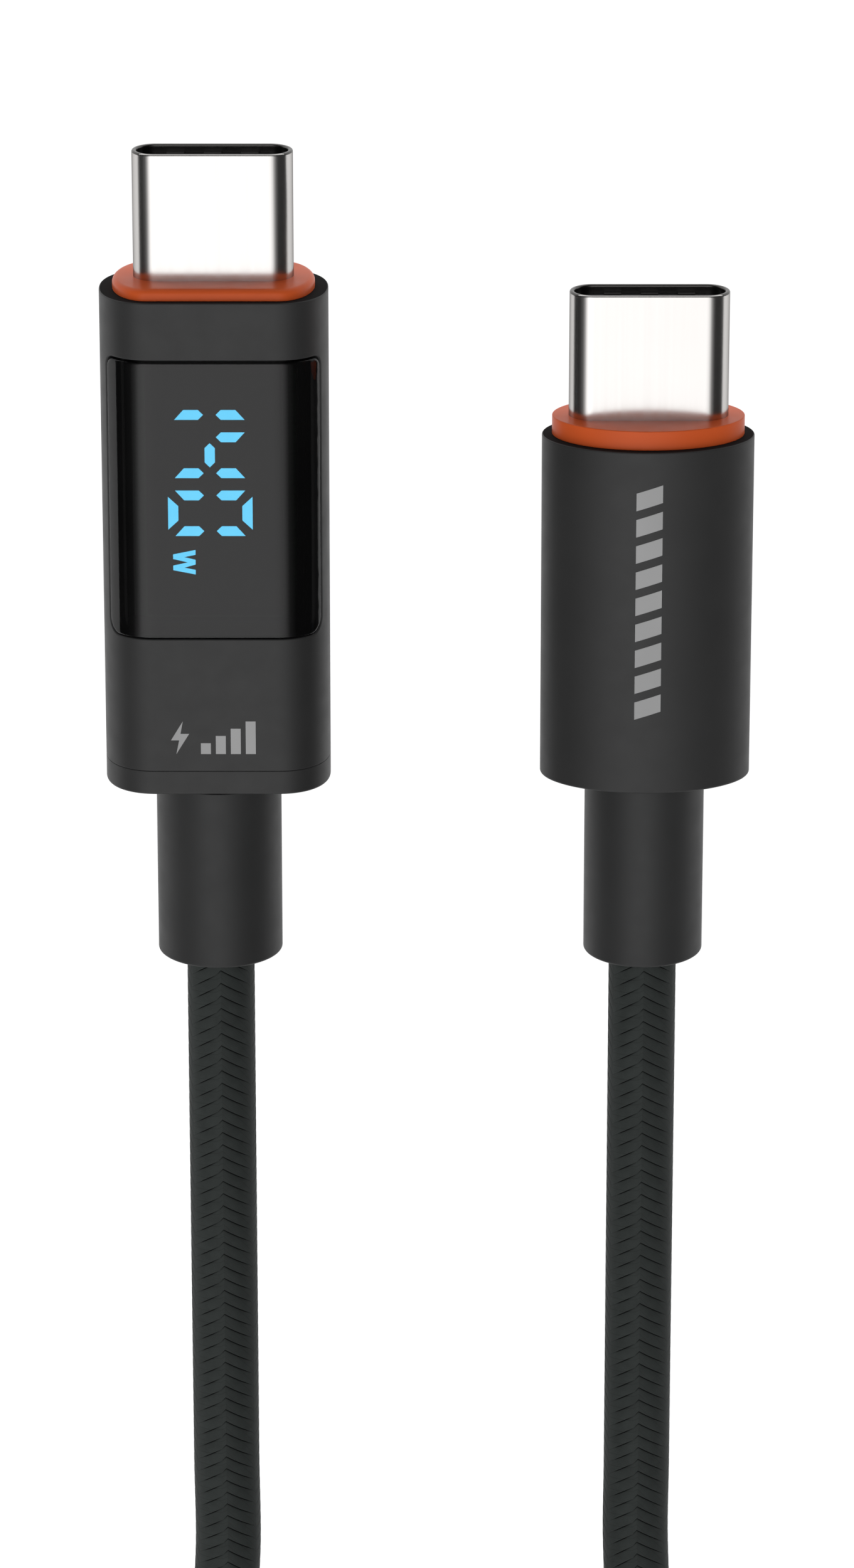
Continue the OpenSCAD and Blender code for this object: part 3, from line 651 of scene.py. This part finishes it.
lit_guide = lit_material()
smoked_window = window_material()
circuit_board = board_material()
ceramic_parts = ceramic_material()
braid = braid_material()
tie_fabric = tie_material()
SLOTS = {
    "polished_steel": polished_steel, "black_moulding": black_moulding,
    "gold_plate": gold_plate, "spring_steel": spring_steel,
    "orange_elastomer": orange_elastomer, "charcoal_shell": charcoal_shell,
    "charcoal_sleeve": charcoal_sleeve, "smoked_window": smoked_window,
    "lit_guide": lit_guide, "unlit_guide": unlit_guide, "led_package": led_package,
    "circuit_board": circuit_board, "chip_epoxy": chip_epoxy, "ceramic_parts": ceramic_parts,
    "pale_moulding": pale_moulding, "tinned_brass": tinned_brass,
    "wire_insulation": wire_insulation, "braid": braid, "tie_fabric": tie_fabric,
}
# the mouths' springs get the near-black steel that paints their shade
DIFFERENT = {
    "light_mask": light_mask, "meter_emi_springs": painted_shade_spring,
    "far_emi_springs": painted_shade_spring}
for part in frame["record"]["subparts"]:
    node = NODES[part["node"]]
    node.data.materials.clear()
    node.data.materials.append(DIFFERENT.get(part["node"], SLOTS[part["material_slot"]]))

dress(cable, braid)


def second_finish(piece, material, test):
    """Gives the faces that pass the test another material; it gets a number and a middle in mm."""
    piece.data.materials.append(material)
    for face in piece.data.polygons:
        if test(face.index, face.center / MM):
            face.material_index = 1


# ---------------------------------------------------------------- metal shells

SHELL_WALL, SHELL_ROLL = 0.25, 0.1
SHELL_HELD = 2.4                   # length that goes on behind the collar's face


def plug_shell(name, node, collar):
    """A drawn tube, with both edges of its mouth rolled round."""
    (x0, y0, z0), (x1, y1, z1) = span(node)
    face = span(collar)[1][1]
    shape = slot_outline(x1 - x0, z1 - z0, 240)
    centre = ((x0 + x1) / 2, (z0 + z1) / 2)
    section = fillet(
        [(0, face - SHELL_HELD), (0, y1), (SHELL_WALL, y1), (SHELL_WALL, face - SHELL_HELD)],
        [0, SHELL_ROLL, SHELL_ROLL, 0], 6)
    built = Build()
    built.rings([ring(shape, inset, y, centre) for inset, y in section], closed=True)
    piece = built.object(name, sharp=50)
    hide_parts(node)
    dress(piece, polished_steel)
    # the cut edge and the wall inside the mouth, and the rim under the mouth, get a dark steel:
    # painted shade where the mouth and that rim lie in shade
    inner = max(i for i, (inset, _) in enumerate(section) if inset < SHELL_ROLL + 0.001)
    second_finish(piece, painted_shade_steel, lambda number, middle: (
        inner <= number // len(shape) < len(section) - 1
        or (middle.y > y1 - 0.095 and middle.z < centre[1] + 0.9)))


plug_shell("meter_plug_shell", "meter_shell", "meter_collar")
plug_shell("far_plug_shell", "far_shell", "far_collar")


# ---------------------------------------------------------------- soft collars

def soft_collar(name, node, shell, flat, height, edge, skirt_w, skirt_t, skirt_flat):
    """The band between shell and housing, with the skirt that holds it inside."""
    (x0, y0, z0), (x1, y1, z1) = span(node)
    (sx0, _, sz0), (sx1, _, sz1) = span(shell)
    centre = ((x0 + x1) / 2, (z0 + z1) / 2)
    outer = outline(x1 - x0, z1 - z0, flat, 240)
    hole = slot_outline(sx1 - sx0 + 0.004, sz1 - sz0 + 0.004, 240)
    skirt = outline(skirt_w, skirt_t, skirt_flat, 240)
    rings = [
        ring(outer, inset, y, centre)
        for inset, y in fillet(
            [(0.25, y1 - height), (0, y1 - height), (0, y1), (0.6, y1)],
            [0, 0.05, edge, 0], 8, closed=False)
    ]
    rings += [ring(hole, 0, y1, centre), ring(hole, 0, y0, centre),
              ring(skirt, 0, y0, centre), ring(skirt, 0, y1 - height, centre)]
    built = Build()
    built.rings(rings, closed=True)
    piece = built.object(name, sharp=50)
    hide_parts(node)
    dress(piece, orange_elastomer)


soft_collar(
    "meter_soft_collar", "meter_collar", "meter_shell", 3.4, 0.6, 0.3, 8.63, 2.78, 2.925)
soft_collar(
    "far_soft_collar", "far_collar", "far_shell", 0, 1.02, 0.05, 8.56, 4.72, 0)


# ---------------------------------------------------------------- meter housing

class Skin:
    """A housing's side as a sheet: s runs round it from the middle of the top, y along it."""

    def __init__(self, width, thickness, flat, centre, power=2.0, columns=192):
        self.shape = outline(width, thickness, flat, 4000, power)
        self.columns = columns
        step = np.linalg.norm(self.shape[0, :2] - self.shape[1, :2])
        self.around = step * 4000
        self.at = np.arange(4001) * step
        self.table = np.vstack([self.shape, self.shape[:1]])
        self.centre = centre

    def place(self, s, y, depth=0.0):
        s, y = np.asarray(s, float) % self.around, np.asarray(y, float)
        v = [np.interp(s, self.at, self.table[:, k]) for k in range(4)]
        return np.column_stack([
            v[0] - v[2] * depth + self.centre[0], y, v[1] - v[3] * depth + self.centre[1]])

    def column_s(self):
        return (np.arange(self.columns) / self.columns - 0.5) * self.around

    def s_at_height(self, z):
        """How far round from the top's middle the side has come down to z above the axis."""
        quarter = self.shape[:1001]
        return float(np.interp(-z, -quarter[:, 1], self.at[:1001]))


def rounded_window(half, y0, y1, front_r, back_r, grow):
    """Points round the window in s and y, grown by grow; equally many for any grow."""
    points = []

    def side(a, b, many):
        for k in range(1, many):
            points.append((a[0] + (b[0] - a[0]) * k / many, a[1] + (b[1] - a[1]) * k / many))

    corners = [
        (half, y1, front_r, 90), (half, y0, back_r, 0), (-half, y0, back_r, -90),
        (-half, y1, front_r, 180)]
    arcs = []
    for cx, cy, r, start in corners:
        r0 = max(r + grow, 0.02)
        mx = cx - math.copysign(r, cx)
        my = cy - r if cy == y1 else cy + r
        arcs.append([
            (mx + r0 * math.cos(math.radians(start - 90 * k / 10)),
             my + r0 * math.sin(math.radians(start - 90 * k / 10))) for k in range(11)])
    manys = [24, 90, 24, 90]
    for i, arc in enumerate(arcs):
        points += arc
        side(arc[-1], arcs[(i + 1) % 4][0], manys[i])
    return np.array(points)


def sheet_faces(skin, ys, loops, keep_inside, built, depth):
    """Triangles over the skin at a depth. loops are rings of s and y: the first one bounds the
    hole, or the sheet if keep_inside. Returns the first loop's point numbers, and the sheet's
    edge rings at the lowest and highest y."""
    n = skin.columns
    bound = loops[0]
    s_cols = skin.column_s()
    grown = loops[-1]
    lo, hi = grown.min(0), grown.max(0)
    flat, owner = [], []
    rows = {}
    if keep_inside:
        cols = s_cols[(s_cols > lo[0]) & (s_cols < hi[0])]
        grid = [(s, y) for y in ys for s in cols if inside(grown, s, y, 0.03)]
        ids = built.add(skin.place([g[0] for g in grid], [g[1] for g in grid], depth))
        flat += grid
        owner += ids.tolist()
    else:
        for row, y in enumerate(ys):
            ids = built.add(skin.place(s_cols, np.full(n, y), depth))
            rows[row] = ids
            for k in range(n + 1):
                s = -skin.around / 2 + skin.around * k / n
                if lo[0] < s < hi[0] and lo[1] < y < hi[1] and inside(grown, s, y, -0.03):
                    continue
                flat.append((s, y))
                owner.append(int(ids[k % n]))
    edges, first = [], None
    for loop in loops:
        ids = built.add(skin.place(loop[:, 0], loop[:, 1], depth))
        start = len(flat)
        flat += [tuple(p) for p in loop]
        owner += ids.tolist()
        edges += [(start + k, start + (k + 1) % len(loop)) for k in range(len(loop))]
        first = ids if first is None else first
    verts, _, faces, source, _, _ = delaunay_2d_cdt(
        [Vector(p) for p in flat], edges, [], 0, 1e-7)
    names = [owner[s[0]] for s in source]
    for face in faces:
        middle = sum((verts[i] for i in face), Vector((0, 0))) / len(face)
        if inside(bound, middle.x, middle.y) == keep_inside:
            corners = [names[i] for i in face]
            if len(set(corners)) > 2:
                built.faces.append(corners)
    return first, rows.get(0), rows.get(len(ys) - 1)


def inside(loop, x, y, margin=0.0):
    """True if the point is in the loop, which is a rounded box; a margin shrinks the loop."""
    if margin:
        middle = loop.mean(0)
        spread = loop.max(0) - loop.min(0)
        x = middle[0] + (x - middle[0]) * spread[0] / (spread[0] - 2 * margin)
        y = middle[1] + (y - middle[1]) * spread[1] / (spread[1] - 2 * margin)
    a, b = loop, np.roll(loop, -1, 0)
    crosses = (a[:, 1] > y) != (b[:, 1] > y)
    where = a[:, 0] + (y - a[:, 1]) / np.where(crosses, b[:, 1] - a[:, 1], 1) * (b[:, 0] - a[:, 0])
    return bool(np.count_nonzero(crosses & (where > x)) % 2)


def tidy_points(built):
    """Drops points that no face uses, such as grid points over the window."""
    points = np.vstack(built.points)
    used = np.unique(np.concatenate([np.asarray(f) for f in built.faces]))
    number = np.full(len(points), -1)
    number[used] = np.arange(len(used))
    built.points = [points[used]]
    built.faces = [[int(number[i]) for i in f] for f in built.faces]


(hx0, hy0, hz0), (hx1, hy1, hz1) = span("meter_housing")
METER_CENTRE = (0.0, (hz0 + hz1) / 2)
METER_FLAT, METER_POWER, METER_WALL = 3.1, 2.25, 1.1
meter_skin = Skin(hx1 - hx0, hz1 - hz0, METER_FLAT, METER_CENTRE, METER_POWER)
(_, wy0, wz0), (_, wy1, _) = span("display_window")
SEAM = 0.03
WINDOW = (meter_skin.s_at_height(wz0 - SEAM - METER_CENTRE[1]), wy0 - SEAM, wy1 + SEAM, 0.6, 0.9)


def meter_housing():
    built = Build()
    front_r, back_r = 0.07, 0.03
    front_inner = hy1 - 1.2
    outer_ys = [hy0 + back_r, hy0 + back_r + 0.05, *np.linspace(hy0 + 0.9, hy1 - 0.9, 26),
                hy1 - front_r - 0.05, hy1 - front_r]
    inner_ys = [hy0, *np.linspace(hy0 + 1.5, front_inner - 1.5, 8), front_inner]
    lip = [rounded_window(*WINDOW, grow) for grow in (0.06, 0.11)]
    hole, back, front = sheet_faces(meter_skin, outer_ys, lip, False, built, 0)
    ledge = rounded_window(*WINDOW, -0.85)
    inner_hole, inner_back, inner_front = sheet_faces(
        meter_skin, inner_ys, [ledge], False, built, METER_WALL)
    # the rounded lip, the wall round the window, and the ledge that it lies on
    down = [(0.032, 0.008), (0.01, 0.03), (0.0, 0.06), (0.0, 0.11), (0.0, 0.6)]
    last = hole
    for grow, depth in down:
        loop = rounded_window(*WINDOW, grow)
        now = built.add(meter_skin.place(loop[:, 0], loop[:, 1], depth))
        built.join(last, now)
        last = now
    now = built.add(meter_skin.place(ledge[:, 0], ledge[:, 1], 0.6))
    built.join(last, now)
    built.join(now, inner_hole)
    # front rim and face, then the slot that the collar's skirt fills
    s = meter_skin.column_s()
    front_rings = [
        meter_skin.place(s, np.full(len(s), y), inset)
        for inset, y in fillet(
            [(0, hy1 - 1), (0, hy1), (0.8, hy1)], [0, front_r, 0], 5, closed=False)[3:]]
    slot = slot_outline(8.65, 2.8, len(s))
    slot = np.roll(slot, len(s) // 2, 0)
    front_rings += [ring(slot, 0, hy1, METER_CENTRE), ring(slot, 0, front_inner, METER_CENTRE)]
    last = front
    for points in front_rings:
        now = built.add(points)
        built.join(last, now)
        last = now
    built.join(last, inner_front)
    last = back
    for inset, y in ((0.01, hy0 + 0.01), (0.03, hy0)):
        now = built.add(meter_skin.place(s, np.full(len(s), y), inset))
        built.join(last, now)
        last = now
    built.join(last, inner_back)
    tidy_points(built)
    piece = built.object("meter_body", sharp=50)
    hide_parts("meter_housing")
    dress(piece, charcoal_shell)
    # the front face round the collar is painted darker: painted shade round the collar
    second_finish(piece, charcoal_end_painted_shade, lambda _, middle: middle.y > hy1 - 0.002)


def window_piece():
    built = Build()
    loose = (WINDOW[0], WINDOW[1], WINDOW[2] - 0.07, *WINDOW[3:])
    ys = np.linspace(WINDOW[1] + 0.3, WINDOW[2] - 0.3, 18)
    top = [rounded_window(*loose, grow) for grow in (-0.16, -0.22)]
    edge, _, _ = sheet_faces(meter_skin, ys, top, True, built, 0)
    under = rounded_window(*loose, -0.1)
    lower, _, _ = sheet_faces(meter_skin, ys, [under], True, built, 0.57)
    last = edge
    for grow, depth in ((-0.1, 0.012), (-0.06, 0.045), (-0.045, 0.1), (-0.045, 0.16),
                        (-0.045, 0.53)):
        loop = rounded_window(*loose, grow)
        now = built.add(meter_skin.place(loop[:, 0], loop[:, 1], depth))
        built.join(last, now)
        last = now
    built.join(last, lower)
    tidy_points(built)
    piece = built.object("wrapped_window", sharp=50)
    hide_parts("display_window")
    dress(piece, smoked_window)


meter_housing()
window_piece()


def lofted(name, rings, node, material, sharp=50):
    built = Build()
    built.rings(rings, closed=True)
    piece = built.object(name, sharp=sharp)
    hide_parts(node)
    return dress(piece, material)


# End cap, with a round hole for the sleeve's neck
(_, cy0, _), (_, _, _) = span("meter_end_cap")
meter_outline = outline(hx1 - hx0, hz1 - hz0, METER_FLAT, 192, METER_POWER)
NECK_D, NECK_HOLE_D = 5.2, 5.22
neck = outline(NECK_HOLE_D, NECK_HOLE_D)
lofted(
    "meter_cap",
    [ring(meter_outline, i, y, METER_CENTRE) for i, y in fillet(
        [(0.9, hy0 - 0.01), (0, hy0 - 0.01), (0, cy0), (0.6, cy0)],
        [0, 0.03, 0.12, 0], 5, closed=False)]
    + [ring(neck, 0, cy0, METER_CENTRE), ring(neck, 0, hy0 - 0.01, METER_CENTRE)],
    "meter_end_cap", charcoal_shell)


def strain_sleeve(name, node, d, housing_back, wall, centre):
    """A plain round sleeve, its neck through the housing's end, and the bore for the cable."""
    y0 = span(node)[0][1]
    outer, neck_shape, bore = (outline(w, w, 0, 144) for w in (d, NECK_D, CABLE_D))
    rings = [ring(outer, i, y, centre) for i, y in fillet(
        [((d - NECK_D) / 2 - 0.1, housing_back), (0, housing_back), (0, y0),
         (d / 2 - CABLE_R - 0.2, y0)],
        [0, 0.04, 0.14, 0], 6, closed=False)]
    rings += [ring(bore, -0.1, y0, centre), ring(bore, -0.03, y0 + 0.02, centre),
              ring(bore, 0, y0 + 0.09, centre), ring(bore, 0, housing_back + wall, centre),
              ring(neck_shape, 0, housing_back + wall, centre),
              ring(neck_shape, 0, housing_back, centre)]
    return lofted(name, rings, node, charcoal_sleeve)


# the sleeves' diameters are as in part.scad; the plain one's node has a wider flange inside
METER_SLEEVE_D, FAR_SLEEVE_D = 6.575, 6.28
strain_sleeve("meter_strain_sleeve", "meter_sleeve", METER_SLEEVE_D, cy0, 1.3, METER_CENTRE)


# ---------------------------------------------------------------- plain housing

(fx0, fy0, fz0), (fx1, fy1, fz1) = span("far_housing")
FAR_CENTRE = ((fx0 + fx1) / 2, (fz0 + fz1) / 2)
FAR_WALL = 1.2
far_outline = outline(fx1 - fx0, fz1 - fz0)
far_body = lofted(
    "far_body",
    [ring(far_outline, i, y, FAR_CENTRE) for i, y in fillet(
        [(FAR_WALL, fy0 + FAR_WALL), (FAR_WALL, fy1), (0, fy1), (0, fy0), (0.9, fy0)],
        [0, 0.03, 0.07, 0.12, 0], 5, closed=False)]
    + [ring(neck, 0, fy0, FAR_CENTRE), ring(neck, 0, fy0 + FAR_WALL, FAR_CENTRE)],
    "far_housing", charcoal_shell)
# the front face round the collar is painted darker: painted shade round the collar
second_finish(far_body, charcoal_end_painted_shade, lambda _, middle: middle.y > fy1 - 0.002)
strain_sleeve("far_strain_sleeve", "far_sleeve", FAR_SLEEVE_D, fy0, FAR_WALL, FAR_CENTRE)


# ---------------------------------------------------------------- printed marks

def printed(name, skin, shapes):
    """Flat ink shapes, each a ring of s and y points, laid on a housing's skin."""
    built = Build()
    for shape in shapes:
        loop = []
        shape = np.array(shape, float)
        for a, b in zip(shape, np.roll(shape, -1, 0)):
            many = max(1, math.ceil(abs(b[0] - a[0]) / 0.12))
            loop += [a + (b - a) * k / many for k in range(many)]
        loop = np.array(loop)
        low, high = loop.min(0), loop.max(0)
        grid = [
            (s, y)
            for s in np.arange(low[0] + 0.06, high[0], 0.12)
            for y in np.arange(low[1] + 0.1, high[1], 0.3)
            if inside(loop, s, y)]
        flat = [tuple(p) for p in loop] + grid
        n = len(loop)
        edges = [(k, (k + 1) % n) for k in range(n)]
        verts, _, faces, source, _, _ = delaunay_2d_cdt(
            [Vector(p) for p in flat], edges, [], 1, 1e-7)
        faces = [[source[i][0] for i in face] for face in faces]
        s, y = np.array([p[0] for p in flat]), np.array([p[1] for p in flat])
        top = built.add(skin.place(s, y, -0.01))
        under = built.add(skin.place(s, y, 0.02))
        for face in faces:
            built.faces.append([int(top[i]) for i in face])
            built.faces.append([int(under[i]) for i in face[::-1]])
        built.join(top[:n], under[:n])
    dress(built.object(name, sharp=40), print_ink)


def bar(s0, s1, y0, y1, lean=0.0):
    return [(s0, y0), (s0, y1), (s1, y1 + lean), (s1, y0 + lean)]


def bolt(s, y, w, h):
    """A plain lightning bolt."""
    shape = [(0.62, 1), (0.12, 0.42), (0.46, 0.42), (0.34, 0), (0.88, 0.62), (0.52, 0.62)]
    return [(s + (u - 0.5) * w, y + (v - 0.5) * h) for u, v in shape]


# rating mark: a bolt and four rising bars, generic
MARK_FOOT, MARK_H = -9.79, 1.8
BAR_W, BAR_PITCH, FIRST_BAR = 0.52, 0.78, -0.82
rating = [bolt(-1.9, MARK_FOOT + MARK_H / 2, 1.25, MARK_H)]
for number in range(4):
    bar_s = FIRST_BAR + number * BAR_PITCH
    rating.append(bar(bar_s, bar_s + BAR_W, MARK_FOOT, MARK_FOOT + MARK_H - 0.4 * (3 - number)))
printed("meter_rating_mark", meter_skin, rating)
far_skin = Skin(fx1 - fx0, fz1 - fz0, 0, FAR_CENTRE)
# plain decoration down the middle of the far housing: a run of slanting dashes
DASH_HALF_W, DASH_H, DASH_LEAN, DASH_PITCH = 0.68, 0.95, 0.45, 1.42
dashes = [bar(-DASH_HALF_W, DASH_HALF_W, y, y + DASH_H, DASH_LEAN)
          for y in np.arange(-7.7, 4.0, DASH_PITCH)]
printed("far_dash_mark", far_skin, dashes)


# ---------------------------------------------------------------- tie

def hull_outline(centres, radius, steps=12):
    """Outline of a band round equal circles, given in order round them, as x, z, nx, nz."""
    rows, n = [], len(centres)
    for i, c in enumerate(centres):
        before = np.array(c) - np.array(centres[i - 1])
        after = np.array(centres[(i + 1) % n]) - np.array(c)
        a0 = math.atan2(before[1], before[0]) - math.pi / 2
        a1 = math.atan2(after[1], after[0]) - math.pi / 2
        while a1 < a0:
            a1 += 2 * math.pi
        for k in range(steps + 1):
            a = a0 + (a1 - a0) * k / steps
            normal = (math.cos(a), math.sin(a))
            rows.append((c[0] + radius * normal[0], c[1] + radius * normal[1], *normal))
    return np.array(rows)


(_, ty0, _), (_, ty1, _) = span("cable_tie")
BUNDLE = [(HANK_X - TRACKS[0], LOWER_Z), (HANK_X - TRACKS[2], LOWER_Z),
          (HANK_X - TRACKS[1], UPPER_Z), (HANK_X - TRACKS[0], UPPER_Z)]
TIE_T = 0.56
band = hull_outline(BUNDLE, CABLE_R + TIE_T + 0.02)
tie = lofted(
    "hook_loop_tie",
    [ring(band, i, y) for i, y in fillet(
        [(0, ty0), (0, ty1), (TIE_T, ty1), (TIE_T, ty0)], [0.12] * 4, 4)],
    "cable_tie", tie_fabric, sharp=60)


# ---------------------------------------------------------------- floor and light

DOME, AMBIENT = 1.9, 0.03
FLOOR_GLOW = 1.0


def floor_piece():
    """A wide white floor that glows enough to come out white."""
    m = Nodes("floor")
    m.set(
        Base_Color=m.tint((0.12, 0.12, 0.12), 0.02, 0.2), Roughness=0.8,
        Specular_IOR_Level=0.0, Emission_Color=(1.0, 1.0, 1.0), Emission_Strength=FLOOR_GLOW)
    built = Build()
    t = np.linspace(0, 2 * math.pi, 48, endpoint=False)
    made = built.rings([
        np.column_stack([r * np.cos(t) + HANK_X, r * np.sin(t) - 60, np.zeros(48)])
        for r in (6000, 600, 100)])
    built.faces.append(made[-1].tolist())
    piece = built.object("floor", body=None, recalc=False)
    piece.location.z = -0.00002
    if piece.data.polygons[0].normal.z < 0:
        piece.data.flip_normals()
    piece.data.materials.append(m.material)


def studio_world():
    """A long soft box overhead, leaning back by 20 degrees, in otherwise dark surroundings."""
    world = bpy.data.worlds.new("studio")
    scene.world = world
    world.use_nodes = True
    m = Nodes.__new__(Nodes)
    m.tree = world.node_tree
    split = m.tree.nodes.new("ShaderNodeSeparateXYZ")
    m.link(m.tree.nodes.new("ShaderNodeTexCoord").outputs["Generated"], split.inputs[0])
    x, y, z = split.outputs
    lean = math.radians(20)
    up = m.math("SUBTRACT", m.math("MULTIPLY", z, math.cos(lean)),
                m.math("MULTIPLY", y, math.sin(lean)))
    back = m.math("ADD", m.math("MULTIPLY", y, math.cos(lean)),
                  m.math("MULTIPLY", z, math.sin(lean)))
    across = m.math("MULTIPLY_ADD", m.math("ARCTAN2", x, up), 0.5 / math.pi, 0.5)
    along = m.math("MULTIPLY_ADD", m.math("ARCSINE", back), 1 / math.pi, 0.5)

    def turn(degrees):
        return 0.5 + degrees / 360

    def tilt(degrees):
        return 0.5 + degrees / 180

    wide = m.ramp(across, [
        (turn(-60), 0.0), (turn(-44), 0.04), (turn(-34), 0.3), (turn(-25), 0.9), (turn(-16), 1.0),
        (turn(-8), 1.0), (turn(2), 0.9), (turn(14), 0.66), (turn(25), 0.12), (turn(38), 0.0)])
    long = m.ramp(along, [
        (tilt(-62), 0.0), (tilt(-44), 1.0), (tilt(42), 1.0), (tilt(58), 0.0)], True)
    light = m.math("MULTIPLY", wide, long)
    background = world.node_tree.nodes["Background"]
    background.inputs["Color"].default_value = (1, 1, 1, 1)
    m.link(m.math("MULTIPLY_ADD", light, DOME, AMBIENT), background.inputs["Strength"])


floor_piece()
studio_world()
scene.view_settings.view_transform = "Standard"
scene.view_settings.look = "None"
